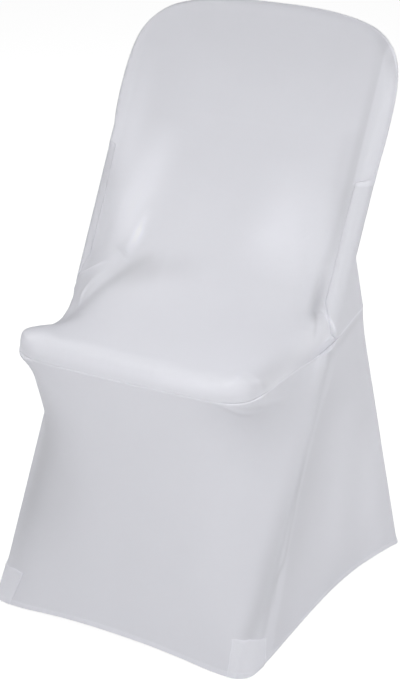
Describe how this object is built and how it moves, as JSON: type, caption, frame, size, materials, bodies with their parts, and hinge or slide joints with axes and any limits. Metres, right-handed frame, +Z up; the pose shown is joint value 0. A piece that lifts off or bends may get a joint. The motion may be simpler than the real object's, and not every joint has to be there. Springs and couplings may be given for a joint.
{
  "type": "chair cover",
  "caption": "Fitted stretch-knit cover for a folding chair: leaning hood, seat with low side seams, and a full skirt drawn onto the feet.",
  "frame": {"origin": "under the top of the hood, in the middle of the width and of the hood's thickness, where what the cover fits holds it up", "axes": "+Z up, -Y to the front, +X to the right as seen from the front"},
  "size_m": [0.4504, 0.4946, 0.8474],
  "materials": {
    "cover_knit": "smooth matt white stretch knit with a very soft sheen",
    "foot_knit": "the same white stretch knit, doubled over the front feet"
  },
  "bodies": {
    "root": {"front_panel": "cover_knit", "back_panel": "cover_knit", "skirt_wrap": "cover_knit", "skirt_back": "cover_knit", "foot_pocket_left": "foot_knit", "foot_pocket_right": "foot_knit"}
  },
  "joints": []
}
